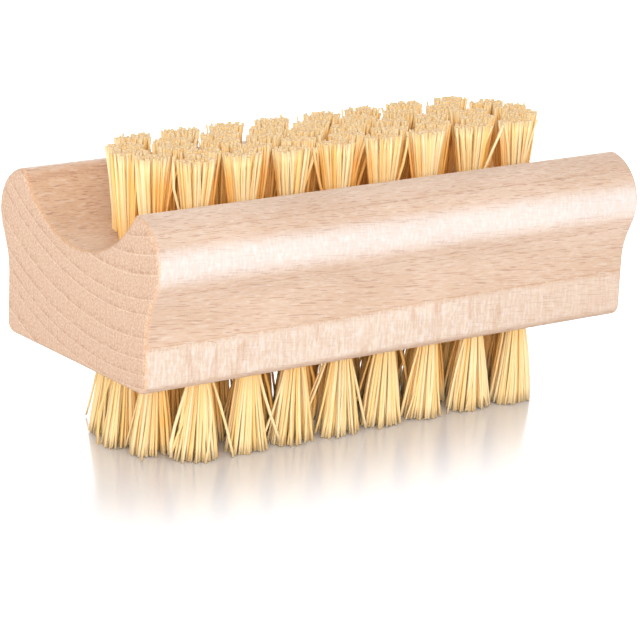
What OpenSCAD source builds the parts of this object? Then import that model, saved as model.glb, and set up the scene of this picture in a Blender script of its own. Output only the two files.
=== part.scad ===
// Double-sided nail brush. A wooden body with rounded grips has a channel along its top.
// One field of fibre tufts stands in the channel and a second one in the flat underside.
// Each tuft is folded round a flat wire anchor at the foot of a blind bore.
// Millimetres, +X along the brush, +Z up. It stands on its lower tips at z = 0.

/* [Wooden body] */
// Length of the wooden body
body_l = 95; // [80:1:115]
// Width over the two grips at their widest
grip_w = 46.4; // [40:0.2:56]
// Height of the wooden body
body_h = 27.6; // [23:0.2:33]
// Radius of the rounded grips
grip_r = 7.5; // [6:0.1:9]
// Distance of each side face in from its grip's widest point
waist_in = 2.9; // [2.4:0.1:3.5]
// Lean of the flank between side face and grip, in degrees
flank_lean = 25; // [20:1:30]
// Radius of the hollow between side face and flank
waist_r = 12.8; // [10:0.2:15.4]
// Radius of the two long lower edges
base_r = 1.9; // [1.5:0.1:2.4]
// Rounding of the edges round each end face
end_r = 0.8; // [0.6:0.1:1]
// Fall of each end face from its flat part to the tops of the walls, left by sanding
end_fall = 0.1; // [0.05:0.05:0.2]

/* [Channel] */
// Width of the channel between the tops of the grips
channel_w = 32.1; // [26:0.1:39]
// Depth of the channel under the tops of the grips
channel_deep = 8.9; // [7.2:0.1:10.7]
// Rounding of the ridges between channel and grips
ridge_r = 1.1; // [0.9:0.1:1.4]

/* [Tuft fields] */
// Distance between neighbouring tufts of one row
tuft_pitch = 9.05; // [7.4:0.05:11]
// Distance from an end face to the nearest bore's centre
end_margin = 9.7; // [8:0.1:12]
// Distance between neighbouring rows in the channel
upper_row_pitch = 4.4; // [3.6:0.1:5.3]
// Distance between neighbouring rows in the underside
lower_row_pitch = 5.9; // [4.8:0.1:7]
// Radius of the bores
bore_r = 1.55; // [1.2:0.05:1.9]
// Depth of a bore's straight wall
bore_depth = 6.5; // [5.2:0.1:7.8]
// Depth of the point that the drill leaves under the straight wall
drill_point = 0.9; // [0.7:0.1:1.1]

/* [Tufts] */
// Free length of the upper tufts over the channel's lowest line
upper_free = 14.2; // [11.6:0.1:17]
// Free length of the lower tufts under the wood
lower_free = 14.8; // [12:0.1:18]
// Gap at the tips between neighbouring tufts of an upper row
upper_tip_gap = 2.7; // [2:0.1:3.4]
// Gap at the tips between neighbouring tufts of a lower row
lower_tip_gap = 1.5; // [1:0.1:2]
// Gap at the tips between neighbouring rows
row_tip_gap = 1; // [0.8:0.05:1.3]
// Half thickness of a strand, from its axis to a corner
strand_r = 0.55; // [0.4:0.05:0.7]
// Height of a tuft's packed root over the wood
root_rise = 0.8; // [0.6:0.05:1]
// Depth of the flat cut that trims the tips
trim = 0.5; // [0.4:0.05:0.7]

/* [Wire anchors] */
// Thickness of the flat wire
anchor_t = 0.35; // [0.25:0.05:0.5]
// Width of the flat wire, along the bore
anchor_w = 1.6; // [1.2:0.1:2]
// Depth to which each end of an anchor bites into the bore's wall
anchor_bite = 0.3; // [0.2:0.05:0.4]
// Height of an anchor over the foot of the bore's wall, which the fold of the fibres fills
anchor_rise = 0.5; // [0.3:0.1:0.8]

/* [Fits] */
// Clearance round packed roots and anchors
fit_gap = 0.05; // [0.02:0.01:0.08]

/* [Hidden] */
// Sides of a round bore or root
round_sides = 48;
// Overrun of a cut past the surface it cuts
overrun = 2;
// Largest part of a face or edge that the rounding beside it may take up
rounding_share = 0.9;
// Steps of the arcs in the body's section, from the lower edge to the channel
base_steps = 5;
waist_steps = 5;
grip_steps = 16;
ridge_steps = 4;
channel_steps = 12;
// Steps of the rounding round each end face
end_steps = 3;
// Neighbouring points of the section that lie nearer than this are one point
same_point = 0.001;

// Places of a tuft's strands, as shares of the spread along and across the brush
strand_shares = [[0, 0], [1, 1], [-1, 1], [-1, -1], [1, -1]];
// Spread of the strands' axes at the mouth along and across, as shares of the bore's radius
root_shares = [0.42, 0.32];
// Part of a bore's depth in which the strands are bound into one root
bound_share = 0.35;

// Rows on each side, counted from the front, with their places in row pitches
row_steps = [-2, -1, 0, 1, 2];
rows = [0:len(row_steps) - 1];
// Length between the outermost bores, and how many tufts fit in it at the common pitch
field_l = body_l - 2 * end_margin;
fitting_count = floor(field_l / tuft_pitch) + 1;

// The middle row holds one tuft more than fits and closes up, and an outer row holds one fewer.
function tuft_count(row) = fitting_count + 1 - abs(row_steps[row]);
function row_pitch(row) = row_steps[row] == 0 ? field_l / fitting_count : tuft_pitch;
function tuft_places(row) =
    [for (i = [0:tuft_count(row) - 1]) (i - (tuft_count(row) - 1) / 2) * row_pitch(row)];

// Section of the body, drawn across the brush and up from the underside
base_half = grip_w / 2 - waist_in;
grip_at = [grip_w / 2 - grip_r, body_h - grip_r];
flank_top = grip_at + grip_r * [cos(flank_lean), -sin(flank_lean)];
flank_run = (flank_top.x - base_half) / sin(flank_lean);
hollow_r = min(waist_r, rounding_share * flank_run / tan(flank_lean / 2));
hollow_at = [
    base_half + hollow_r,
    flank_top.y - flank_run * cos(flank_lean) - hollow_r * tan(flank_lean / 2)
];
channel_r = (pow(channel_w / 2, 2) + pow(channel_deep, 2)) / (2 * channel_deep);
channel_at = [0, body_h - channel_deep + channel_r];

// The ridge's centre, on a flat-topped wall or where grip and channel cut each other
flat_ridge = sqrt(pow(channel_r + ridge_r, 2) - pow(channel_at.y - body_h + ridge_r, 2));
flat_topped = flat_ridge < grip_at.x;
ridge_at = flat_topped
    ? [flat_ridge, body_h - ridge_r]
    : meeting(grip_at, grip_r - ridge_r, channel_at, channel_r + ridge_r);
ridge_turn = flat_topped ? 90 : bearing(grip_at, ridge_at);

// The end faces' rounding stays smaller than the ridges' and the lower edges' own
end_ease = min(end_r, rounding_share * min(ridge_r, base_r));

// Where two circles meet, on the right of the way from centre a to centre b
function meeting(a, ra, b, rb) =
    let (apart = norm(b - a))
    let (along = (b - a) / apart)
    let (k = (pow(ra, 2) - pow(rb, 2) + pow(apart, 2)) / (2 * apart))
    a + k * along + sqrt(pow(ra, 2) - pow(k, 2)) * [along.y, -along.x];

function bearing(from, to) = atan2(to.y - from.y, to.x - from.x);

function arc(centre, r, from, to, steps) =
    [for (i = [0:steps])
        let (a = from + (to - from) * i / steps)
        centre + r * [cos(a), sin(a)]];

// Right half of the section, from the lower edge to the channel's lowest line, moved in by inset
function half_section(inset) = without_repeats(concat(
    arc([base_half - base_r, base_r], base_r - inset, -90, 0, base_steps),
    arc(hollow_at, hollow_r + inset, 180, 180 - flank_lean, waist_steps),
    arc(grip_at, grip_r - inset, -flank_lean, ridge_turn, grip_steps),
    arc(ridge_at, ridge_r - inset, ridge_turn, bearing(ridge_at, channel_at), ridge_steps),
    arc(channel_at, channel_r + inset, bearing(channel_at, ridge_at), -90, channel_steps)
));

function without_repeats(points) =
    [for (i = [0:len(points) - 1]) if (i == 0 || norm(points[i] - points[i - 1]) > same_point) points[i]];

function whole_section(inset) =
    let (right = half_section(inset))
    concat(right, [for (i = [len(right) - 2:-1:0]) [-right[i].x, right[i].y]]);

// Height of the channel's surface over the underside, at a distance from the middle line
function channel_floor(across) = channel_at.y - sqrt(pow(channel_r, 2) - pow(across, 2));

// An end face is flat beside the flat part of the side faces and falls off over and under it
function end_drop(up) =
    end_fall * pow(max(0, base_r - up, up - hollow_at.y) / (body_h - hollow_at.y), 2);

// Faces over one ring of the section: strips up to the channel's lowest point, then both walls
function end_faces(section) =
    let (last = len(section) - 1)
    let (lowest = last / 2)
    let (under = len([for (p = section) if (p.y < section[lowest].y) p]) / 2 - 1)
    let (wall = wall_faces(section, under, lowest))
    concat(
        [for (i = [0:under - 1]) [i, i + 1, last - 1 - i, last - i]],
        [[under, lowest, last - under]],
        wall,
        [for (face = wall) [last - face[2], last - face[1], last - face[0]]]
    );

// Triangles between the outer and the channel side of a wall, up from the points of two numbers
function wall_faces(section, outer, inner) =
    inner - outer < 2 ? [] :
    section[outer + 1].y < section[inner - 1].y
        ? concat([[outer, outer + 1, inner]], wall_faces(section, outer + 1, inner))
        : concat([[outer, inner - 1, inner]], wall_faces(section, outer, inner - 1));

// The body before it is bored: its section lofted along the brush, drawn in round each end face
module block() {
    stations = [
        for (side = [-1, 1])
            for (k = [0:end_steps])
                [side, 90 * (side < 0 ? end_steps - k : k) / end_steps]
    ];
    rings = [
        for (at = stations)
            let (reach = body_l / 2 - end_ease + end_ease * sin(at[1]))
            [for (p = whole_section(end_ease * (1 - cos(at[1])))) [at[0] * (reach - end_drop(p.y)), p.x, p.y]]
    ];
    n = len(rings[0]);
    last = len(rings) - 1;
    sides = [
        for (k = [0:last - 1])
            for (i = [0:n - 1])
                let (next = (i + 1) % n)
                each [
                    [k * n + i, (k + 1) * n + i, (k + 1) * n + next],
                    [k * n + i, (k + 1) * n + next, k * n + next]
                ]
    ];
    left_faces = end_faces(whole_section(end_ease));
    right_faces = [for (face = left_faces) [for (i = [len(face) - 1:-1:0]) last * n + face[i]]];
    polyhedron(
        points = [for (ring = rings) each ring],
        faces = concat(left_faces, sides, right_faces)
    );
}

// Places of the tufts, with each bore's mouth at the origin and its foot below

module at_upper_bores(row) {
    across = row_steps[row] * upper_row_pitch;
    for (along = tuft_places(row))
        translate([along, across, lower_free + channel_floor(across)])
            children();
}

module at_lower_bores(row) {
    for (along = tuft_places(row))
        translate([along, row_steps[row] * lower_row_pitch, lower_free])
            rotate([180, 0, 0])
                children();
}

// A blind bore's round space up to a height over its mouth, drawn in by a clearance
module bore_space(top, clearance) {
    rotate_extrude($fn = round_sides)
        polygon([
            [0, clearance - bore_depth - drill_point],
            [bore_r - clearance, clearance - bore_depth],
            [bore_r - clearance, top],
            [0, top]
        ]);
}

// The flat wire across a bore's foot, with its ends in the bore's wall
module anchor(clearance) {
    translate([0, 0, anchor_rise + anchor_w / 2 - bore_depth])
        cube([
            anchor_t + 2 * clearance,
            2 * (bore_r + anchor_bite + clearance),
            anchor_w + 2 * clearance
        ], center = true);
}

// One strand from its place at the mouth to its place at the tips, and on past the trimming cut
module strand(root, tip) {
    way = tip - root;
    translate(root)
        rotate([0, acos(way.z / norm(way)), atan2(way.y, way.x)])
            translate([0, 0, -bound_share * bore_depth])
                cylinder(h = norm(way) + bound_share * bore_depth + trim, r = strand_r, $fn = 4);
}

// One tuft: a packed root in the bore, and strands that fan out and are cut flat at the tips
module tuft(free, spread) {
    difference() {
        union() {
            bore_space(root_rise, fit_gap);
            for (share = strand_shares)
                strand(
                    [share.x * root_shares.x * bore_r, share.y * root_shares.y * bore_r, 0],
                    [share.x * spread.x, share.y * spread.y, free]
                );
        }
        anchor(fit_gap);
        translate([0, 0, free + trim])
            cube([2 * tuft_pitch, 2 * tuft_pitch, 2 * trim], center = true);
    }
}

// Spread of the strands' axes at the tips, which leaves the stated gaps to the neighbours
function tip_spread(row, row_apart, tip_gap) = [
    (row_pitch(row) - tip_gap) / 2 - strand_r,
    (row_apart - row_tip_gap) / 2 - strand_r
];

// The nodes

module wooden_body() {
    color("burlywood")
        difference() {
            translate([0, 0, lower_free]) block();
            for (row = rows) {
                at_upper_bores(row) bored();
                at_lower_bores(row) bored();
            }
        }
}

module bored() {
    bore_space(overrun, 0);
    anchor(fit_gap);
}

module upper_tufts(row) {
    over_mouth = upper_free - channel_floor(row_steps[row] * upper_row_pitch) + channel_floor(0);
    color("wheat")
        at_upper_bores(row)
            tuft(over_mouth, tip_spread(row, upper_row_pitch, upper_tip_gap));
}

module lower_tufts(row) {
    color("wheat")
        at_lower_bores(row)
            tuft(lower_free, tip_spread(row, lower_row_pitch, lower_tip_gap));
}

module upper_anchors(row) {
    color("silver") at_upper_bores(row) anchor(0);
}

module lower_anchors(row) {
    color("silver") at_lower_bores(row) anchor(0);
}

function row_node(name, row) = str(name, "_row_", row + 1);

wooden_body();
for (row = rows) {
    upper_tufts(row);
    lower_tufts(row);
    upper_anchors(row);
    lower_anchors(row);
}
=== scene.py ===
"""Double-sided nail brush: a beech body between two fields of plant-fibre tufts, in a plain studio.

The brush stands on its lower tips at z = 0, with +X along it and -Y towards the camera. Sizes are fields
in millimetres, multiplied by MM where a mesh is made, so every object is in metres and lies in the frame
of the CAD model.
"""

import logging
import math
from collections.abc import Sequence
from dataclasses import dataclass
from enum import Enum
from typing import Any, Union

import bmesh
import bpy
import numpy as np
from mathutils import Matrix, Vector


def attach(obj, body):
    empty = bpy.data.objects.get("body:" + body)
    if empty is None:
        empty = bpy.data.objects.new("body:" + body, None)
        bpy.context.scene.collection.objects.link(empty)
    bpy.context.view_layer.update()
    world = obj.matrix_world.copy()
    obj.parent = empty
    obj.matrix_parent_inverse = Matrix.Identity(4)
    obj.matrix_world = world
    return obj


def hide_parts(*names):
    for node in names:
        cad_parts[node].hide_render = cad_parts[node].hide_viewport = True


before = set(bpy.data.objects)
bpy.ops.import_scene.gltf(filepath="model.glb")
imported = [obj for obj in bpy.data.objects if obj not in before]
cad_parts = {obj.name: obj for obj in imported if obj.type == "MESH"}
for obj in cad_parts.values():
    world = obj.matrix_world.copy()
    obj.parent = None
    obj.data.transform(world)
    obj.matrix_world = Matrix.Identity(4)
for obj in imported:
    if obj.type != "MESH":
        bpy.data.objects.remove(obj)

MM = 0.001
BODY = "root"
log = logging.getLogger("nail_brush")

Array = np.ndarray
Socket = bpy.types.NodeSocket
Colour = tuple[float, float, float, float]
Input = Union["Signal", Socket, float, Sequence[float]]
Place = Union[Socket, tuple[Input, Input, Input]]


class Side(Enum):
    """The side of the body that a field of tufts stands on."""

    UPPER = 1
    LOWER = -1


class Slot(Enum):
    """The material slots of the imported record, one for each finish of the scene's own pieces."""

    BEECH = "beech"
    PLANT_FIBRE = "plant_fibre"


# Shader building


class Signal:
    """A value in a shader. Python's operators on it add the Math nodes that work the result out."""

    def __init__(self, bench: "Bench", socket: Socket) -> None:
        """Wraps an output socket of a node on the bench."""
        self.bench = bench
        self.socket = socket

    def _with(self, operation: str, *others: Input) -> "Signal":
        """Adds one Math node that starts with this value."""
        return self.bench.math(operation, self, *others)

    def __add__(self, other: Input) -> "Signal":
        """This value plus another."""
        return self._with("ADD", other)

    __radd__ = __add__

    def __sub__(self, other: Input) -> "Signal":
        """This value less another."""
        return self._with("SUBTRACT", other)

    def __rsub__(self, other: Input) -> "Signal":
        """Another value less this one."""
        return self.bench.math("SUBTRACT", other, self)

    def __mul__(self, other: Input) -> "Signal":
        """This value times another."""
        return self._with("MULTIPLY", other)

    __rmul__ = __mul__

    def __truediv__(self, other: Input) -> "Signal":
        """This value over another."""
        return self._with("DIVIDE", other)

    def __rtruediv__(self, other: Input) -> "Signal":
        """Another value over this one."""
        return self.bench.math("DIVIDE", other, self)

    def __abs__(self) -> "Signal":
        """This value without its sign."""
        return self._with("ABSOLUTE")

    def fraction(self) -> "Signal":
        """What is left of this value past the whole number under it."""
        return self._with("FRACT")

    def root(self) -> "Signal":
        """The square root of this value."""
        return self._with("SQRT")

    def step(self, start: float, stop: float) -> "Signal":
        """Eases from 0 to 1 as this value goes from one level to another, which may be the lower one.

        Args:
            start: The level up to which the result is 0.
            stop: The level from which it is 1.

        Returns:
            The eased value.
        """
        levels = {"Value": self, "From Min": start, "From Max": stop}
        node = self.bench.node("ShaderNodeMapRange", {"interpolation_type": "SMOOTHSTEP"}, levels)
        return Signal(self.bench, node.outputs["Result"])


class Bench:
    """A node tree that starts empty, with one method that makes any node."""

    def __init__(self, tree: bpy.types.NodeTree) -> None:
        """Clears the tree."""
        self.tree = tree
        self.tree.nodes.clear()

    def node(
        self,
        kind: str,
        settings: dict[str, Any] | None = None,
        sockets: dict[str | int, Input] | None = None,
    ) -> bpy.types.Node:
        """Makes a node, sets it up and feeds its sockets.

        Args:
            kind: The node's type.
            settings: Its settings by name; "stops" are a ramp's places and colours.
            sockets: What goes into its sockets, by name or number: a value or the output that feeds it.

        Returns:
            The node.
        """
        made = self.tree.nodes.new(kind)
        for name, value in (settings or {}).items():
            if name == "stops":
                self._stops(made.color_ramp, value)
            else:
                setattr(made, name, value)
        for key, value in (sockets or {}).items():
            self._feed(made.inputs[key], value)
        return made

    @staticmethod
    def _stops(ramp: bpy.types.ColorRamp, stops: Sequence[tuple[float, Colour]]) -> None:
        """Sets a ramp up.

        Args:
            ramp: The ramp.
            stops: Its places and colours.
        """
        while len(ramp.elements) < len(stops):
            ramp.elements.new(1.0)
        for element, (place, colour) in zip(ramp.elements, stops):
            element.position, element.color = place, colour

    def _feed(self, socket: Socket, value: Input) -> None:
        """Links a socket to an output, or sets its value.

        Args:
            socket: The input socket.
            value: The output that feeds it, or the value that it gets.
        """
        if isinstance(value, Signal):
            value = value.socket
        if isinstance(value, Socket):
            self.tree.links.new(value, socket)
        else:
            socket.default_value = value

    def math(self, operation: str, *values: Input) -> Signal:
        """Adds one Math node on up to three values."""
        made = self.node("ShaderNodeMath", {"operation": operation}, dict(enumerate(values)))
        return Signal(self, made.outputs[0])

    def place(self) -> Socket:
        """The place on the object in millimetres, as a vector."""
        at = self.node("ShaderNodeTexCoord").outputs["Object"]
        return self.node("ShaderNodeVectorMath", {"operation": "SCALE"}, {0: at, "Scale": 1 / MM}).outputs[0]

    def parts(self, vector: Socket) -> tuple[Signal, Signal, Signal]:
        """The three parts of a vector."""
        made = self.node("ShaderNodeSeparateXYZ", {}, {0: vector})
        return tuple(Signal(self, out) for out in made.outputs)

    def vector(self, x: Input, y: Input, z: Input) -> Socket:
        """A vector of three values."""
        return self.node("ShaderNodeCombineXYZ", {}, {"X": x, "Y": y, "Z": z}).outputs[0]

    def attribute(self, name: str) -> Signal:
        """A value that is stored on the mesh."""
        return Signal(self, self.node("ShaderNodeAttribute", {"attribute_name": name}).outputs["Fac"])

    def noise(self, at: Place, detail: float = 2.0, rough: float = 0.5, scale: float = 1.0) -> Signal:
        """Soft noise from 0 to 1.

        Args:
            at: The place at which it is read, as a vector or as three values.
            detail: Number of finer layers.
            rough: Strength of the finer layers.
            scale: Waves for each unit of the place.

        Returns:
            The noise's value.
        """
        spot = self.vector(*at) if isinstance(at, tuple) else at
        fed = {"Vector": spot, "Scale": scale, "Detail": detail, "Roughness": rough}
        return Signal(self, self.node("ShaderNodeTexNoise", {}, fed).outputs[0])

    def mix(self, share: Input, first: Input, second: Input) -> Socket:
        """Mixes two colours, by the share that the second one has."""
        made = self.node("ShaderNodeMix", {"data_type": "RGBA"}, {0: share, 6: first, 7: second})
        return made.outputs[2]

    def layers(self, ground: Input, *coats: tuple[Input, Colour]) -> Input:
        """Lays colours over a ground, one after another.

        Args:
            ground: The colour under them all.
            coats: How much each coat hides of what is under it, and its colour.

        Returns:
            The socket of the colour that shows in the end.
        """
        for share, colour in coats:
            ground = self.mix(share, ground, colour)
        return ground

    def bump(self, height: Signal, strength: float, depth: float) -> Socket:
        """A bumped normal, for a height of 0 to 1 over a depth in metres."""
        made = self.node("ShaderNodeBump", {}, {"Height": height, "Strength": strength, "Distance": depth})
        return made.outputs[0]


class Surface(Bench):
    """A new material and its node tree, with one Principled shader."""

    def __init__(self, name: str) -> None:
        """Makes the material.

        Args:
            name: The material's name.
        """
        self.material = bpy.data.materials.new(name)
        self.material.use_nodes = True
        super().__init__(self.material.node_tree)
        self.shader = self.node("ShaderNodeBsdfPrincipled")
        self.node("ShaderNodeOutputMaterial", {}, {"Surface": self.shader.outputs[0]})

    def finish(self, **sockets: Input) -> bpy.types.Material:
        """Feeds the shader.

        Args:
            sockets: What goes into its sockets, which are named with underscores for spaces.

        Returns:
            The material.
        """
        for name, value in sockets.items():
            self._feed(self.shader.inputs[name.replace("_", " ")], value)
        return self.material


def rgb(red: float, green: float, blue: float) -> Colour:
    """A colour for a shader, from the values that a screen shows.

    Args:
        red: Red, from 0 to 255.
        green: Green, from 0 to 255.
        blue: Blue, from 0 to 255.

    Returns:
        Its linear red, green and blue, and an alpha of 1.
    """
    lit = [c / 255 for c in (red, green, blue)]
    linear = [c / 12.92 if c <= 0.04045 else ((c + 0.055) / 1.055) ** 2.4 for c in lit]
    return (*linear, 1.0)


# Finishes


class BeechFigure:
    """What shows on a block of beech: its rings, rays and pores, and how its faces cut them."""

    def __init__(self, bench: Surface, wood: "Beech") -> None:
        """Works the figure out.

        Args:
            bench: The bench of the material.
            wood: The finish, which holds the sizes.
        """
        self.bench = bench
        self.wood = wood
        self.x, self.y, self.z = bench.parts(bench.place())
        self.sway = bench.noise((self.x * 0.012, self.y * 0.03, self.z * 0.03))
        self.speck = bench.noise((self.x * 2.0, self.y * 2.6, self.z * 2.6), 3.0, 0.7)
        self._rings()
        self._rays()
        self._faces()

    def _rings(self) -> None:
        """Grows the rings round the pith, each darkening towards its late wood."""
        b, wood = self.bench, self.wood
        self.dy = self.y - wood.pith_y + (self.sway - 0.5) * wood.pith_sway
        self.dz = self.z - wood.pith_z
        self.radius = (self.dy * self.dy + self.dz * self.dz).root()
        self.round_pith = b.math("ARCTAN2", self.dy, self.dz) * wood.mean_ring
        drift = b.noise((0.0, 0.0, self.radius * 0.13), 1.0) * wood.ring_drift + (self.speck - 0.5) * 0.5
        ring = ((self.radius + drift) / wood.ring_width).fraction()
        before_end = ring.step(0.985, 0.955)
        self.late = ring.step(0.30, 0.95) * ring.step(1.0, 0.96)
        self.dark = ring.step(0.84, 0.95) * before_end
        self.deep = ring.step(0.62, 0.92) * before_end
        self.light = ring.step(0.07, 0.02) + ring.step(0.98, 1.0)

    def _rays(self) -> None:
        """Lays out the rays, thin sheets along the grain, and the pores, saw marks and clouds between them.

        The rays show as dashes on the channel and the grips, and as upright bars low on the sides.
        """
        b, x, y, z = self.bench, self.x, self.y, self.z
        rise = z + x * self.wood.ray_rise
        self.dash = b.noise((x * 0.27, y * 6.0, rise * 6.0), 1.0, 0.4).step(0.60, 0.66)
        self.grain = b.noise((x * 0.5, y * 2.2, rise * 2.2), 3.0, 0.65)
        self.hair = b.noise((x * 2.8, self.round_pith * 0.6, self.radius * 0.18), 2.0, 0.6)
        self.block = b.noise((x * 2.2, self.round_pith * 0.8, self.radius * 0.75), 2.0, 0.6)
        self.bar = b.noise((x * 0.42, 4.0, self.radius * 0.12 + 3.0), 1.0)
        self.pores = b.noise((x * 0.7, y * 6.0, z * 6.0), 2.0, 0.6)
        self.patch = b.noise((x * 0.3, y * 0.8, z * 0.8), 3.0, 0.65)
        self.sawn = b.noise((x * 0.5, y * 4.5, z * 0.25), 1.0)
        self.cloud = b.noise((x * 0.05, y * 0.16, z * 0.16))

    def _faces(self) -> None:
        """Tells the block's faces apart, and where they cut the rays squarely enough to shine silver.

        The silver lies on the grips' sides, where it is partly the rays' silver and partly a painted
        highlight, and in a band along the lower edges, which ends in a thin seam.
        Towards the right end the band gives way and the lower sides turn darker tan, which is painted shade.
        """
        b, wood = self.bench, self.wood
        nx, ny, nz = b.parts(b.node("ShaderNodeTexCoord").outputs["Normal"])
        self.end = abs(nx).step(0.6, 0.9)
        self.eased = abs(nx).step(0.15, 0.45) * abs(nx).step(0.98, 0.75)
        self.channel = abs(self.y).step(*wood.channel_edge) * nz.step(0.2, 0.5)
        outward = (ny * self.dy + nz * self.dz) / self.radius
        square = abs(outward - 0.2).step(0.52, 0.08)
        edge = wood.band_top + (self.sway - 0.5) * wood.band_sway
        self.right_painted_shade = self.x.step(0.0, wood.right_painted_shade)
        over_edge = self.z - edge + (self.block - 0.5) * wood.band_sway
        # the band gives way towards the right end: painted shade
        low = over_edge.step(0.5, -0.4) * (1 - self.right_painted_shade * 0.55)
        self.band = square * low
        # the grips' upper sides: partly silver fleck, partly a painted highlight
        self.grip = square * self.z.step(*wood.painted_highlight_edge)
        self.side = square.step(0.0, 0.4)
        self.bars = self.bar.step(0.60, 0.64) * low * self.side
        self.seam = abs(self.z - edge - 0.5).step(0.22, 0.04) * abs(ny).step(0.5, 0.8)


@dataclass(frozen=True)
class Beech:
    """Sanded, unvarnished steamed beech, cut so that its growth rings bow down under the channel."""

    pith_y: float = -11.0
    pith_z: float = 79.0
    pith_sway: float = 4.0
    ring_width: float = 3.1
    ring_drift: float = 7.0
    mean_ring: float = 56.0
    ray_rise: float = 0.1
    band_top: float = 22.3
    band_sway: float = 3.0
    painted_highlight_edge: tuple[float, float] = (28.0, 33.0)
    channel_edge: tuple[float, float] = (16.4, 15.0)
    # how far right the painted shade on the lower sides grows to its full strength
    right_painted_shade: float = 45.0
    pale: Colour = rgb(206, 179, 157)
    warm: Colour = rgb(192, 162, 138)
    # orange tan: the eased end edges' line, and the painted bounce light from the fibres in the channel
    golden: Colour = rgb(194, 146, 100)
    late_wood: Colour = rgb(184, 142, 109)
    fleck: Colour = rgb(150, 102, 80)
    silver_ray: Colour = rgb(222, 208, 192)
    # bluish white: mottle in the lower band, and the painted highlight on the grips
    fleck_and_painted_highlight: Colour = rgb(226, 223, 222)
    end_grain: Colour = rgb(200, 165, 139)
    end_line: Colour = rgb(222, 196, 171)
    smoothest: float = 0.50
    specular: float = 0.35
    relief: float = 0.04

    def make(self) -> bpy.types.Material:
        """Builds the material, with a tan line round the end faces on their eased edges.

        Returns:
            The material.
        """
        b = Surface("sanded_beech")
        f = BeechFigure(b, self)
        wood = b.mix(f.end, self._long_faces(f), self._end_faces(f))
        height = f.pores * 0.4 + f.grain * -0.5 + f.dash * -0.4 + f.speck * 0.4
        return b.finish(
            Base_Color=b.mix(f.eased * f.speck.step(0.3, 0.6) * 0.5, wood, self.golden),
            Roughness=self.smoothest + f.pores * 0.12,
            Normal=b.bump(height, 0.2, self.relief * MM),
            Specular_IOR_Level=self.specular,
        )

    def _long_faces(self, f: BeechFigure) -> Input:
        """Colours the faces along the grain: channel, grips, sides and underside, with painted shade, a
        painted highlight and painted bounce light among the wood's own figure.

        Args:
            f: The block's figure.

        Returns:
            The colour's socket.
        """
        silver = f.band + f.grip
        return f.bench.layers(
            self.pale,
            (f.cloud.step(0.34, 0.66) * 0.7, self.warm),
            # painted shade: the lower sides darker tan, the more so towards the right end
            ((f.right_painted_shade * 0.4 + 0.25) * f.z.step(32.0, 26.0), self.warm),
            (f.band * 0.30, self.silver_ray),
            # painted highlight on the grips, over their silver fleck
            (f.grip * 0.46, self.fleck_and_painted_highlight),
            # painted bounce light: the channel warmer, as if lit by the fibres
            (f.channel * 0.48, self.golden),
            (f.late * (1 - f.side) * 0.14, self.late_wood),
            (f.dark * f.pores.step(0.35, 0.6) * (1 - f.side) * 0.35, self.fleck),
            (f.grain.step(0.50, 0.70) * (1 - silver * 0.6) * 0.26, self.late_wood),
            (f.grain.step(0.50, 0.30) * (1 - silver * 0.4) * 0.30, self.silver_ray),
            (f.block.step(0.44, 0.66) * f.band * 0.34, self.fleck_and_painted_highlight),
            (f.bars * 0.34, self.late_wood),
            (f.hair.step(0.42, 0.70) * f.band * 0.40, self.silver_ray),
            (f.hair.step(0.46, 0.26) * f.band * 0.14, self.late_wood),
            # mottle in the painted highlight on the grips
            (f.block.step(0.40, 0.72) * f.grip * 0.40, self.fleck_and_painted_highlight),
            (f.dash * (0.42 + f.channel * 0.14) * (1 - silver * 0.75), self.fleck),
            (f.seam * f.grain.step(0.38, 0.55) * (0.35 + f.x.step(0.0, 30.0) * 0.35), self.late_wood),
        )

    def _end_faces(self, f: BeechFigure) -> Input:
        """Colours the end grain, with its ring lines, specks and saw marks.

        Args:
            f: The block's figure.

        Returns:
            The colour's socket.
        """
        return f.bench.layers(
            self.end_grain,
            (f.late * 0.16 + f.dark * 0.2, self.late_wood),
            (f.deep * f.patch.step(0.42, 0.60) * 0.36, self.fleck),
            (f.light * (0.25 + f.patch.step(0.62, 0.40) * 0.45), self.end_line),
            (f.speck.step(0.48, 0.64) * 0.50, self.late_wood),
            (f.speck.step(0.52, 0.38) * 0.45, self.end_line),
            (f.sawn.step(0.4, 0.7) * 0.16, self.end_line),
        )


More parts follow.
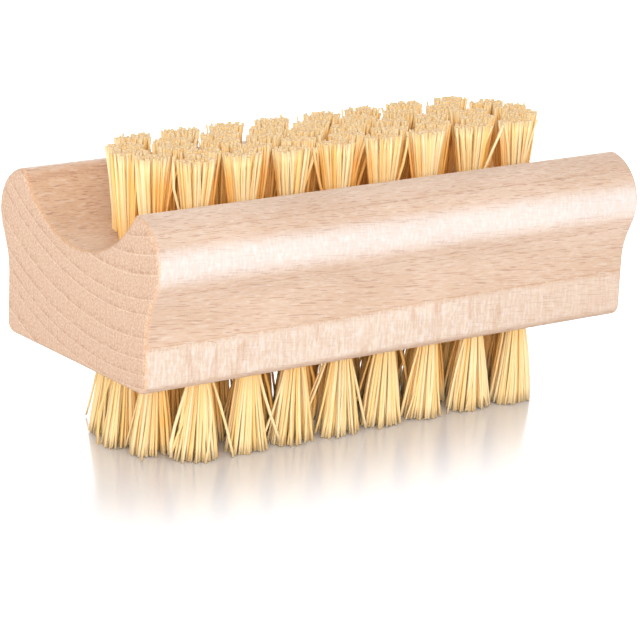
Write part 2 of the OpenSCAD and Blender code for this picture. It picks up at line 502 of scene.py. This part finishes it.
@dataclass(frozen=True)
class PlantFibre:
    """Stiff plant fibre, cream to straw and duller at the cut ends, with painted shade and painted glow that
    turn it deeper yellow towards the wood and inside the tufts.
    """

    cream: Colour = rgb(247, 225, 178)
    straw: Colour = rgb(248, 211, 140)
    honey: Colour = rgb(246, 189, 91)
    painted_glow_amber: Colour = rgb(255, 190, 88)
    cut_end: Colour = rgb(194, 163, 126)
    smoothest: float = 0.42
    specular: float = 0.4
    relief: float = 0.03

    def make(self) -> bpy.types.Material:
        """Builds the material on each fibre's own tone and on the place along it, with painted shade towards
        the roots and a painted glow deep inside the tufts.

        Returns:
            The material.
        """
        b = Surface("plant_fibre")
        tone, along, painted_glow_share = (b.attribute(name) for name in ("tone", "along", "painted_glow_share"))
        x, y, z = b.parts(b.place())
        streak = b.noise((x * 9.0, y * 9.0, z * 0.35 + tone * 40.0), 2.0, 0.6)
        ramp = b.node(
            "ShaderNodeValToRGB",
            {"stops": [(0.0, self.honey), (0.4, self.straw), (0.9, self.cream)]},
            {0: tone + (streak - 0.5) * 0.55},
        )
        colour = b.layers(
            ramp.outputs[0],
            # painted shade and scattered light: deeper yellow towards the roots
            (along.step(0.50, 0.0) * 0.42, self.honey),
            # painted glow: deep orange inside the tufts, for light passed through other fibres
            (painted_glow_share * 0.75, self.painted_glow_amber),
            (along.step(0.86, 1.0) * 0.35, self.cut_end),
            (along.step(1.04, 1.1), self.cut_end),
        )
        return b.finish(
            Base_Color=colour,
            Roughness=self.smoothest + streak * 0.15,
            Normal=b.bump(streak, 0.3, self.relief * MM),
            Specular_IOR_Level=self.specular,
        )


@dataclass(frozen=True)
class AnchorWire:
    """Flat rolled steel wire with fine marks from the rolls."""

    bright: Colour = rgb(190, 190, 192)
    dull: Colour = rgb(128, 126, 124)
    smoothest: float = 0.28
    relief: float = 0.02

    def make(self) -> bpy.types.Material:
        """Builds the material, streaked along the wire.

        Returns:
            The material.
        """
        b = Surface("rolled_wire")
        x, y, z = b.parts(b.place())
        rolled = b.noise((x * 8.0, y * 0.5, z * 12.0), 3.0, 0.6)
        stain = b.noise((x * 1.5, y * 1.5, z * 1.5))
        return b.finish(
            Base_Color=b.mix(stain.step(0.45, 0.7), self.bright, self.dull),
            Roughness=self.smoothest + rolled * 0.25,
            Normal=b.bump(rolled, 0.2, self.relief * MM),
            Metallic=1.0,
        )


@dataclass(frozen=True)
class WhiteTable:
    """Glossy white table top with a painted glow that keeps it white, left out under and round the brush,
    where it stays darker.
    """

    white: Colour = (0.76, 0.76, 0.76, 1.0)
    lit: Colour = (1.0, 1.0, 1.0, 1.0)
    unlit: Colour = (0.0, 0.0, 0.0, 1.0)
    smoothest: float = 0.18
    refraction: float = 1.9
    glow: float = 0.42
    # half size of the patch under the brush that gets no painted glow
    unlit_half: tuple[float, float] = (44.0, 15.0)
    fade: tuple[float, float] = (2.0, 35.0)

    def make(self) -> bpy.types.Material:
        """Builds the material.

        Returns:
            The material.
        """
        b = Surface("white_table")
        at = b.place()
        soft = b.noise(at, scale=0.02)
        x, y, _ = b.parts(at)
        past_x, past_y = (b.math("MAXIMUM", abs(v) - half, 0.0) for v, half in zip((x, y), self.unlit_half))
        away = (past_x * past_x + past_y * past_y).root()
        return b.finish(
            Base_Color=self.white,
            Roughness=self.smoothest + soft * 0.06,
            IOR=self.refraction,
            # painted glow, none under the brush and rising away from it
            Emission_Color=b.mix(away.step(*self.fade), self.unlit, self.lit),
            Emission_Strength=self.glow,
        )


# Sizes that the sub-assemblies share


def meeting(a: Vector, ra: float, b: Vector, rb: float) -> Vector:
    """Where two circles meet, on the right of the way from the first centre to the second.

    Args:
        a: Centre of the first circle.
        ra: Its radius.
        b: Centre of the second circle.
        rb: Its radius.

    Returns:
        The point.
    """
    apart = (b - a).length
    way = (b - a) / apart
    along = (ra**2 - rb**2 + apart**2) / (2 * apart)
    return a + along * way + math.sqrt(ra**2 - along**2) * Vector((way.y, -way.x))


def bearing(start: Vector, end: Vector) -> float:
    """Direction from one point to another, in degrees."""
    return math.degrees(math.atan2(end.y - start.y, end.x - start.x))


@dataclass(frozen=True)
class Arc:
    """An arc of the section, between two bearings in degrees. Its bulge is 1, or -1 where it is hollow."""

    centre: Vector
    radius: float
    first: float
    last: float
    steps: int
    bulge: int = 1

    def points(self) -> tuple[Array, Array]:
        """Follows the arc.

        Returns:
            Its points, and the directions straight out of the wood there.
        """
        turn = np.radians(np.linspace(self.first, self.last, self.steps + 1))
        out = np.stack([np.cos(turn), np.sin(turn)], 1)
        return np.array(self.centre) + self.radius * out, self.bulge * out


@dataclass(frozen=True)
class BodySection:
    """Cross-section of the wooden body, across the brush and up from its underside, and how high that is."""

    underside: float = 14.8
    grip_width: float = 46.4
    height: float = 27.6
    grip_radius: float = 7.5
    waist_in: float = 2.9
    flank_lean: float = 25.0
    waist_radius: float = 12.8
    base_radius: float = 1.9
    channel_width: float = 32.1
    channel_depth: float = 8.9
    ridge_radius: float = 1.1
    steps: tuple[int, int, int, int, int] = (8, 10, 26, 8, 22)
    same_point: float = 0.001

    @property
    def channel_radius(self) -> float:
        """Radius of the channel's arc."""
        return ((self.channel_width / 2) ** 2 + self.channel_depth**2) / (2 * self.channel_depth)

    @property
    def channel_centre(self) -> Vector:
        """Centre of the channel's arc."""
        return Vector((0, self.height - self.channel_depth + self.channel_radius))

    def mouth(self, side: Side, across: float) -> float:
        """Height over the underside at which a side's bores open, at a distance from the middle line."""
        channel_floor = self.channel_centre.y - math.sqrt(self.channel_radius**2 - across**2)
        return channel_floor if side is Side.UPPER else 0.0

    def _arcs(self) -> list[Arc]:
        """Fits the arcs of the right half to one another.

        Returns:
            The arcs, from the lower edge to the channel's lowest line.
        """
        base_half = self.grip_width / 2 - self.waist_in
        foot = Vector((base_half - self.base_radius, self.base_radius))
        lean = math.radians(self.flank_lean)
        grip = Vector((self.grip_width / 2 - self.grip_radius, self.height - self.grip_radius))
        flank_top = grip + self.grip_radius * Vector((math.cos(lean), -math.sin(lean)))
        run = (flank_top.x - base_half) / math.sin(lean)
        drop = run * math.cos(lean) + self.waist_radius * math.tan(lean / 2)
        hollow = Vector((base_half + self.waist_radius, flank_top.y - drop))
        middle, reach = self.channel_centre, self.channel_radius
        ridge = meeting(grip, self.grip_radius - self.ridge_radius, middle, reach + self.ridge_radius)
        to_ridge, to_channel = bearing(grip, ridge), bearing(ridge, middle)
        base, waist, over_grip, over_ridge, channel = self.steps
        return [
            Arc(foot, self.base_radius, -90, 0, base),
            Arc(hollow, self.waist_radius, 180, 180 - self.flank_lean, waist, -1),
            Arc(grip, self.grip_radius, -self.flank_lean, to_ridge, over_grip),
            Arc(ridge, self.ridge_radius, to_ridge, to_channel, over_ridge),
            Arc(middle, reach, bearing(middle, ridge), -90, channel, -1),
        ]

    def outline(self) -> tuple[Array, Array]:
        """Points round the whole section, and the directions straight out of the wood there.

        Returns:
            Two arrays of as many rows as there are points, of across and up.
        """
        right, right_out = (np.concatenate(part) for part in zip(*(arc.points() for arc in self._arcs())))
        apart = np.linalg.norm(np.diff(right, axis=0, prepend=np.nan), axis=1)
        new = ~(apart < self.same_point)
        mirror = np.array([-1.0, 1.0])
        return tuple(
            np.concatenate([half, half[-2::-1] * mirror]) for half in (right[new], right_out[new])
        )


@dataclass(frozen=True)
class TuftGrid:
    """Places of the tufts: five lengthwise rows on each side, staggered, counted from the middle one."""

    body_length: float = 95.0
    end_margin: float = 9.7
    tuft_pitch: float = 9.05
    upper_row_pitch: float = 4.4
    lower_row_pitch: float = 5.9
    steps: tuple[int, ...] = (-2, -1, 0, 1, 2)

    @property
    def field_length(self) -> float:
        """Length between the outermost bores."""
        return self.body_length - 2 * self.end_margin

    def along(self, step: int) -> list[float]:
        """Places of a row's tufts along the brush. The middle row closes up for one more tuft.

        Args:
            step: The row.

        Returns:
            The places, from the left end to the right.
        """
        fitting = self.field_length // self.tuft_pitch
        pitch = self.field_length / (fitting + 1) if step == 0 else self.tuft_pitch
        count = int(fitting) + 2 - abs(step)
        return [(i - (count - 1) / 2) * pitch for i in range(count)]

    def across(self, side: Side, step: int) -> float:
        """Place of a row across the brush."""
        return step * (self.upper_row_pitch if side is Side.UPPER else self.lower_row_pitch)

    def edge(self, side: Side, step: int) -> Array:
        """Places of a row's last tuft along the brush and of a side's last row across it."""
        return np.array([self.along(step)[-1], self.across(side, self.steps[-1])])


# Sub-assemblies


def add_object(name: str, data: bpy.types.ID) -> bpy.types.Object:
    """Puts a new object into the scene.

    Args:
        name: The object's name.
        data: Its mesh, light or camera.

    Returns:
        The object.
    """
    made = bpy.data.objects.new(name, data)
    bpy.context.scene.collection.objects.link(made)
    return made


def add_piece(
    name: str, mesh: bpy.types.Mesh, material: bpy.types.Material, slot: Slot, *nodes: str
) -> None:
    """Puts a mesh into the scene as a piece of the brush.

    Args:
        name: The piece's name.
        mesh: Its mesh.
        material: Its finish.
        slot: The record's slot that the finish belongs to; not used.
        nodes: The CAD nodes that it stands for.
    """
    piece = add_object(name, mesh)
    mesh.materials.append(material)
    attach(piece, BODY)
    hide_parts(*nodes)
    log.info("%s: %d faces, in place of %s", name, len(mesh.polygons), ", ".join(nodes))


@dataclass
class WoodenBody:
    """The beech block with its channel, its two grips and a blind bore for each tuft."""

    section: BodySection
    grid: TuftGrid
    end_rounding: float = 0.8
    end_fall: float = 0.1
    flat_part: tuple[float, float] = (1.9, 9.4)
    rounding_steps: int = 7
    stretches: int = 40
    bore_radius: float = 1.55
    bore_depth: float = 6.5
    drill_point: float = 0.9
    bore_sides: int = 28
    overrun: float = 2.0
    wall_gap: float = 0.06
    facing_end: float = 0.999
    finish: Beech = Beech()

    @property
    def straight(self) -> float:
        """How far from the middle of the brush the end faces' rounded edges start."""
        return self.grid.body_length / 2 - self.end_rounding

    def build(self) -> None:
        """Builds, bores and dresses the block."""
        block, tool = self._block(), self._bores()
        cut = block.modifiers.new("bores", "BOOLEAN")
        cut.operation, cut.solver, cut.object = "DIFFERENCE", "EXACT", tool
        bored = block.evaluated_get(bpy.context.evaluated_depsgraph_get())
        mesh = bpy.data.meshes.new_from_object(bored)
        for spent in (block, tool):
            bpy.data.objects.remove(spent)
        self._shade(mesh)
        add_piece("beech_body", mesh, self.finish.make(), Slot.BEECH, "wooden_body")

    def _block(self) -> bpy.types.Object:
        """Lofts the section along the brush, drawn in round each end face.

        Returns:
            The block, without its bores.
        """
        outline, out = self.section.outline()
        turns = np.linspace(math.pi / 2, 0, self.rounding_steps + 1)
        ends = [
            (-self.straight - self.end_rounding * math.sin(t), self.end_rounding * (1 - math.cos(t)))
            for t in turns
        ]
        between = [(x, 0.0) for x in np.linspace(-self.straight, self.straight, self.stretches + 1)[1:-1]]
        stations = ends + between + [(-x, inset) for x, inset in reversed(ends)]
        rings = []
        for x, inset in stations:
            ring = outline - out * inset
            fall = math.copysign(1, x) * self._fall(ring[:, 1]) * (abs(x) >= self.straight)
            rings.append(np.column_stack([x - fall, ring]))
        points = np.concatenate(rings) * MM
        points[:, 2] += self.section.underside * MM
        n, last = len(outline), len(stations) - 1
        faces = [
            (k * n + i, (k + 1) * n + i, (k + 1) * n + (i + 1) % n, k * n + (i + 1) % n)
            for k in range(last)
            for i in range(n)
        ]
        faces += [tuple(range(n)), tuple(range(last * n, last * n + n))[::-1]]
        mesh = bpy.data.meshes.new("block")
        mesh.from_pydata(points.tolist(), [], [face[::-1] for face in faces])
        return add_object("block", mesh)

    def _fall(self, up: Array) -> Array:
        """How far the end faces fall back outside their flat part.

        Args:
            up: Heights over the underside.

        Returns:
            The fall at each height.
        """
        low, high = self.flat_part
        past = np.maximum(0, np.maximum(low - up, up - high))
        return self.end_fall * (past / (self.section.height - high)) ** 2

    def _bores(self) -> bpy.types.Object:
        """Makes the space of all the bores, to be cut out of the block.

        Returns:
            The space as one object.
        """
        shape = bmesh.new()
        for side in Side:
            for step in self.grid.steps:
                for along in self.grid.along(step):
                    self._bore(shape, side, along, self.grid.across(side, step))
        bmesh.ops.recalc_face_normals(shape, faces=shape.faces)
        mesh = bpy.data.meshes.new("bores")
        shape.to_mesh(mesh)
        shape.free()
        return add_object("bores", mesh)

    def _bore(self, shape: bmesh.types.BMesh, side: Side, along: float, across: float) -> None:
        """Adds the space of one bore, a round hole with a drill point at its foot.

        Args:
            shape: The mesh that it is added to.
            side: The side that it opens on.
            along: Its place along the brush.
            across: Its place across the brush.
        """
        mouth = self.section.mouth(side, across)
        lift = Vector((0, 0, self.section.underside * MM))
        turns = [2 * math.pi * i / self.bore_sides for i in range(self.bore_sides)]
        flat = [
            (along + self.bore_radius * math.cos(t), across + self.bore_radius * math.sin(t)) for t in turns
        ]
        rim, floor = (
            [shape.verts.new(Vector((*spot, mouth + side.value * up)) * MM + lift) for spot in flat]
            for up in (self.overrun, -self.bore_depth)
        )
        foot = mouth - side.value * (self.bore_depth + self.drill_point) + self.section.underside
        point = shape.verts.new(Vector((along, across, foot)) * MM)
        shape.faces.new(rim)
        for i in range(self.bore_sides):
            j = (i + 1) % self.bore_sides
            shape.faces.new((rim[i], rim[j], floor[j], floor[i]))
            shape.faces.new((floor[i], floor[j], point))

    def _shade(self, mesh: bpy.types.Mesh) -> None:
        """Gives the sanded surfaces the smooth normals of their arcs, and leaves the bores' as they are.

        Args:
            mesh: The bored block's mesh.
        """
        outline, out = self.section.outline()
        points = np.array([v.co for v in mesh.vertices]) / MM
        flat = points[:, 1:] - [0, self.section.underside]
        way = np.roll(outline, -1, 0) - outline
        reach = flat[:, None] - outline[None]
        share = np.clip((reach * way).sum(2) / (way * way).sum(1), 0, 1)
        gap = np.linalg.norm(reach - share[..., None] * way, axis=2)
        near = gap.argmin(1)
        rows = np.arange(len(points))
        share = share[rows, near][:, None]
        normal = out[near] * (1 - share) + np.roll(out, -1, 0)[near] * share
        normal /= np.linalg.norm(normal, axis=1)[:, None]
        past = np.abs(points[:, 0]) + self._fall(flat[:, 1]) - self.straight
        past = np.clip(past / self.end_rounding, 0, 1)
        smooth = np.column_stack([np.sign(points[:, 0]) * past, normal * np.sqrt(1 - past**2)[:, None]])
        inside = gap[rows, near] > self.end_rounding * (1 - np.sqrt(1 - past**2)) + self.wall_gap
        loops = []
        for face in mesh.polygons:
            face.use_smooth = True
            corners = list(face.vertices)
            if inside[corners].any():
                loops += [tuple(face.normal)] * len(corners)
            elif abs(face.normal.x) > self.facing_end:
                loops += [(math.copysign(1, face.normal.x), 0, 0)] * len(corners)
            else:
                loops += [tuple(smooth[i]) for i in corners]
        mesh.normals_split_custom_set(loops)


@dataclass(frozen=True)
class FibreForm:
    """Form of the single fibres: closed, slightly uneven rods, cut level at their tips."""

    thickness: tuple[float, float] = (0.34, 0.52)
    sides: int = 6
    oval: float = 0.18
    swell: float = 0.06
    cut_step: float = 0.05
    cut_mark: float = 1.15
    tone_mean: float = 0.70
    tone_spread: float = 0.19
    # deeper tone painted on a tuft's inner fibres as shade
    painted_inner_shade: float = 0.3


@dataclass(frozen=True)
class FibreLay:
    """How the fibres of a tuft lie: how far they scatter and bow, and how strays differ from the rest."""

    golden_turn: float = 2.39996
    shuffle: tuple[float, float] = (0.2, 0.8)
    corner_power: int = 3
    fibre_scatter: float = 0.14
    tuft_scatter: float = 0.15
    bow: float = 0.16
    uneven: float = 0.35
    proud_share: float = 0.15
    stray_reach: tuple[float, float] = (1.3, 2.0)
    stray_bow: float = 3.0
    stray_uneven: float = 1.6


@dataclass
class TuftField:
    """One side's field of fibre tufts, as one piece for each row."""

    side: Side
    grid: TuftGrid
    section: BodySection
    free_length: float
    tip_half: tuple[float, float]
    # depths from the open sides and from the tips over which the painted glow sets in
    painted_glow_side_depth: tuple[float, float]
    stray_share: float
    seed: int
    fibres: int = 96
    root_radius: float = 1.42
    rooted: float = 3.0
    stations: tuple[float, ...] = (-0.2, 0.0, 0.2, 0.42, 0.64, 0.84, 1.0)
    margin: tuple[float, float] = (0.5, 0.4)
    painted_glow_tip_depth: tuple[float, float] = (0.5, 4.5)
    lowest_tip: float = 0.05
    lowest_corner: float = 0.02
    form: FibreForm = FibreForm()
    lay: FibreLay = FibreLay()

    @property
    def free(self) -> Array:
        """How far each station is on the way from the bore's mouth to the tip."""
        return np.clip(np.array(self.stations), 0, 1)

    def build(self, material: bpy.types.Material) -> None:
        """Builds and dresses one piece for each row of tufts.

        Args:
            material: The fibres' finish.
        """
        name = self.side.name.lower()
        for number, step in enumerate(self.grid.steps, start=1):
            rng = np.random.default_rng(self.seed + number)
            tufts = [self._tuft(rng, along, step) for along in self.grid.along(step)]
            path, radius, tone = (np.concatenate(part) for part in zip(*tufts))
            mesh = self._mesh(self._rods(rng, path, radius), tone, self._painted_glow_share(path, step))
            piece, node = f"{name}_fibres_row_{number}", f"{name}_tufts_row_{number}"
            add_piece(piece, mesh, material, Slot.PLANT_FIBRE, node)

    def _tuft(self, rng: np.random.Generator, along: float, step: int) -> tuple[Array, ...]:
        """Lays out one tuft's fibres.

        Args:
            rng: The row's own source of chance.
            along: The tuft's place along the brush.
            step: Its row, counted from the middle one.

        Returns:
            The middle lines of its fibres as fibre, station and place, their radii, and their tones.
        """
        n, lay, form, free, up = self.fibres, self.lay, self.form, self.free, self.side.value
        across = self.grid.across(self.side, step)
        mouth = self.section.underside + self.section.mouth(self.side, across)
        tip_level = self.section.underside + self.section.mouth(self.side, 0) + up * self.free_length
        order = np.arange(n) + rng.uniform(*lay.shuffle, n)
        spread = np.sqrt(order / n)
        turn = order * lay.golden_turn + rng.uniform(0, 2 * math.pi)
        unit = np.stack([np.cos(turn), np.sin(turn)], 1)
        square = (np.abs(unit) ** lay.corner_power).sum(1) ** (-1 / lay.corner_power)
        root = unit * (spread * self.root_radius)[:, None]
        tip = unit * (spread * square)[:, None] * self.tip_half
        tip += rng.normal(0, lay.fibre_scatter, (n, 2)) + rng.normal(0, lay.tuft_scatter, 2)
        stray = rng.random(n) < self.stray_share
        tip[stray] *= rng.uniform(*lay.stray_reach, (stray.sum(), 1))
        bow = rng.normal(0, lay.bow, (n, 2))
        bow[stray] *= lay.stray_bow
        flat = root[:, None] + (tip - root)[:, None] * free[None, :, None]
        flat += bow[:, None] * (4 * free * (1 - free))[None, :, None]
        uneven = rng.uniform(-lay.uneven, lay.proud_share * lay.uneven, n) * (1 + lay.stray_uneven * stray)
        tip_z = tip_level + up * uneven
        if self.side is Side.LOWER:
            tip_z = np.maximum(tip_z, self.lowest_tip)
        t = np.array(self.stations)
        rise = np.where(t < 0, t * self.rooted / -t[0], 0)[None, :] * up
        z = mouth + rise + (tip_z[:, None] - mouth) * free[None, :]
        limit = self.grid.edge(self.side, step) + self.tip_half + self.margin
        flat = np.clip(flat + [along, across], -limit, limit)
        radius = rng.uniform(*form.thickness, n) / 2
        # inner fibres get a deeper tone: painted shade inside the tuft
        tone = rng.normal(form.tone_mean, form.tone_spread, n) - form.painted_inner_shade * (1 - spread)
        return np.concatenate([flat, z[..., None]], axis=2), radius, np.clip(tone, 0, 1)

    def _painted_glow_share(self, path: Array, step: int) -> Array:
        """How far inside the field the fibres lie, which sets a painted glow standing in for light that has
        passed through other fibres and turned golden.

        Args:
            path: The middle lines of a row's fibres as fibre, station and place.
            step: The row, counted from the middle one.

        Returns:
            A value from 0 at the open sides and the tips to 1 deep inside, for each fibre and station.
        """
        half = self.root_radius + np.subtract(self.tip_half, self.root_radius) * self.free[:, None]
        inward = (self.grid.edge(self.side, step) + half - np.abs(path[..., :2])).min(axis=-1)
        below = np.abs(path[:, -1:, 2] - path[..., 2])
        ramps = ((inward, *self.painted_glow_side_depth), (below, *self.painted_glow_tip_depth))
        share = [np.clip((value - low) / (high - low), 0, 1) for value, low, high in ramps]
        return np.prod([v * v * (3 - 2 * v) for v in share], axis=0)

    def _rods(self, rng: np.random.Generator, path: Array, radius: Array) -> Array:
        """Gives the fibres their thickness.

        Args:
            rng: The row's own source of chance.
            path: The fibres' middle lines as fibre, station and place.
            radius: The fibres' radii.

        Returns:
            The rods' points as fibre, station, side and place.
        """
        (count, stations, _), sides = path.shape, self.form.sides
        heading = np.gradient(path, axis=1)
        heading /= np.linalg.norm(heading, axis=2, keepdims=True)
        first = np.cross(heading, np.array([1.0, 0.0, 0.0]))
        first /= np.linalg.norm(first, axis=2, keepdims=True)
        second = np.cross(heading, first)
        turn = rng.uniform(0, 2 * math.pi, count)[:, None] + np.arange(sides) * 2 * math.pi / sides
        oval = 1 + self.form.oval * np.cos(2 * (turn - rng.uniform(0, math.pi, count)[:, None]))
        swell = 1 + rng.normal(0, self.form.swell, (count, stations))
        cosine, sine = (part[:, None, :, None] for part in (np.cos(turn), np.sin(turn)))
        around = cosine * first[:, :, None] + sine * second[:, :, None]
        size = radius[:, None, None, None] * swell[:, :, None, None] * oval[:, None, :, None]
        points = path[:, :, None] + around * size
        level = path[:, -1, 2][:, None] + rng.normal(0, self.form.cut_step, (count, sides))
        slide = (level - points[:, -1, :, 2]) / heading[:, -1, 2][:, None]
        points[:, -1] += slide[..., None] * heading[:, -1][:, None]
        if self.side is Side.LOWER:
            points[:, -1, :, 2] = np.maximum(points[:, -1, :, 2], self.lowest_corner)
        return points

    def _mesh(self, points: Array, tone: Array, painted_glow_share: Array) -> bpy.types.Mesh:
        """Closes the rods into one mesh.

        Args:
            points: The rods' points as fibre, station, side and place.
            tone: The fibres' tones.
            painted_glow_share: How far inside the field each station of each fibre lies.

        Returns:
            The mesh, with the tone, the place along the fibre and the share of painted glow as attributes.
        """
        count, stations, sides, _ = points.shape
        index = np.arange(count * stations * sides).reshape(count, stations, sides)
        after = np.roll(index, -1, axis=2)
        quads = np.stack([index[:, :-1], after[:, :-1], after[:, 1:], index[:, 1:]], axis=-1).reshape(-1, 4)
        caps = np.concatenate([index[:, 0, ::-1], index[:, -1]])
        mesh = bpy.data.meshes.new("fibres")
        mesh.from_pydata((points.reshape(-1, 3) * MM).tolist(), [], quads.tolist() + caps.tolist())
        mesh.polygons.foreach_set("use_smooth", np.arange(len(mesh.polygons)) < len(quads))
        corner_vertex = np.zeros(len(mesh.loops), int)
        mesh.loops.foreach_get("vertex_index", corner_vertex)
        place = np.tile(np.repeat(self.free, sides), count)[corner_vertex]
        place[-count * sides :] = self.form.cut_mark
        stored = (
            ("along", "CORNER", place),
            ("tone", "POINT", np.repeat(tone, stations * sides)),
            ("painted_glow_share", "POINT", np.repeat(painted_glow_share.reshape(-1), sides)),
        )
        for name, domain, values in stored:
            mesh.attributes.new(name, "FLOAT", domain).data.foreach_set("value", values.astype(np.float32))
        return mesh


@dataclass
class WireAnchors:
    """The flat wire anchors at the feet of the bores, which keep their CAD nodes."""

    grid: TuftGrid
    finish: AnchorWire = AnchorWire()

    def dress(self) -> None:
        """Gives each row's anchors their finish."""
        material = self.finish.make()
        for side in Side:
            for number in range(1, len(self.grid.steps) + 1):
                node = f"{side.name.lower()}_anchors_row_{number}"
                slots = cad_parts[node].data.materials
                slots.clear()
                slots.append(material)
                log.info("%s: kept from the CAD model", node)


@dataclass(frozen=True)
class Lamp:
    """A square soft light turned to the brush, with its place and size in metres and its power in watts."""

    name: str
    place: tuple[float, float, float]
    size: float
    power: float
    colour: tuple[float, float, float] = (1.0, 0.985, 0.97)

    def hang(self) -> None:
        """Hangs the light."""
        data = bpy.data.lights.new(self.name, "AREA")
        data.size, data.energy, data.color = self.size, self.power, self.colour
        lamp = add_object(self.name, data)
        lamp.location = self.place
        lamp.rotation_euler = (-Vector(self.place)).to_track_quat("-Z", "Y").to_euler()


@dataclass
class Studio:
    """Plain white table top, soft light and the camera at the photograph's angle."""

    azimuth: float = -36.56
    elevation: float = 16.17
    roll: float = 2.44
    distance: float = 529.9
    target: tuple[float, float, float] = (-1.79, 0.0, 15.93)
    lens: float = 182.0
    sensor_width: float = 36.0
    shift: tuple[float, float] = (0.0141, -0.0039)
    clip_metres: float = 100.0
    table_size: float = 6000.0
    horizon: Colour = (0.75, 0.75, 0.75, 1.0)
    overhead: Colour = (1.05, 1.08, 1.15, 1.0)
    lamps: tuple[Lamp, ...] = (
        Lamp("front", (-0.5, -0.95, 0.5), 0.7, 3.3),
        Lamp("fill", (-0.69, -0.93, 0.33), 0.25, 4.0),
        Lamp("back", (0.5, 1.0, 0.5), 0.8, 6.0, (1.0, 0.99, 0.98)),
        Lamp("left", (-1.1, -0.3, 0.25), 0.8, 1.2),
        Lamp("low", (-0.6, -1.0, 0.1), 0.7, 1.5),
    )
    finish: WhiteTable = WhiteTable()

    def build(self) -> None:
        """Builds the table top, the light and the camera."""
        self._table()
        self._world()
        for lamp in self.lamps:
            lamp.hang()
        self._camera()
        view = bpy.context.scene.view_settings
        view.view_transform, view.look = "Standard", "None"
        view.exposure, view.gamma = 0.0, 1.0
        log.info("studio: table top, %d lamps and the camera", len(self.lamps))

    def _table(self) -> None:
        """Lays the table top under the brush."""
        half = self.table_size / 2 * MM
        corners = [(-half, -half, 0), (half, -half, 0), (half, half, 0), (-half, half, 0)]
        mesh = bpy.data.meshes.new("table_top")
        mesh.from_pydata(corners, [], [(0, 1, 2, 3)])
        mesh.materials.append(self.finish.make())
        add_object("table_top", mesh)

    def _world(self) -> None:
        """Lights the scene softly from all round, a little cooler from overhead."""
        world = bpy.data.worlds.new("studio")
        world.use_nodes = True
        b = Bench(world.node_tree)
        _, _, up = b.parts(b.node("ShaderNodeTexCoord").outputs["Generated"])
        sky = b.mix(up.step(0.0, 1.0), self.horizon, self.overhead)
        light = b.node("ShaderNodeBackground", {}, {"Color": sky})
        b.node("ShaderNodeOutputWorld", {}, {"Surface": light.outputs[0]})
        bpy.context.scene.world = world

    def _camera(self) -> None:
        """Sets the camera up as the photograph was taken."""
        data = bpy.data.cameras.new("camera")
        data.lens, data.sensor_width = self.lens, self.sensor_width
        data.shift_x, data.shift_y = self.shift
        data.clip_end = self.clip_metres
        data.dof.use_dof = False
        turn = (
            Matrix.Rotation(math.radians(self.azimuth), 4, "Z")
            @ Matrix.Rotation(math.radians(90 - self.elevation), 4, "X")
            @ Matrix.Rotation(math.radians(self.roll), 4, "Z")
        )
        target = Vector(self.target) * MM
        back = turn @ Vector((0, 0, 1))
        camera = add_object("camera", data)
        camera.matrix_world = Matrix.Translation(target + back * self.distance * MM) @ turn
        bpy.context.scene.camera = camera


def main() -> None:
    """Builds the brush and its studio."""
    logging.basicConfig(level=logging.INFO, format="%(name)s: %(message)s")
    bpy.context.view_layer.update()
    section, grid = BodySection(), TuftGrid()
    Studio().build()
    WoodenBody(section, grid).build()
    fibre = PlantFibre().make()
    TuftField(
        side=Side.UPPER,
        grid=grid,
        section=section,
        free_length=14.2,
        tip_half=(3.15, 1.8),
        painted_glow_side_depth=(0.1, 2.4),
        stray_share=0.025,
        seed=100,
    ).build(fibre)
    TuftField(
        side=Side.LOWER,
        grid=grid,
        section=section,
        free_length=section.underside,
        tip_half=(3.7, 2.4),
        painted_glow_side_depth=(1.0, 4.5),
        stray_share=0.045,
        seed=200,
    ).build(fibre)
    WireAnchors(grid).dress()


if __name__ == "__main__":
    main()
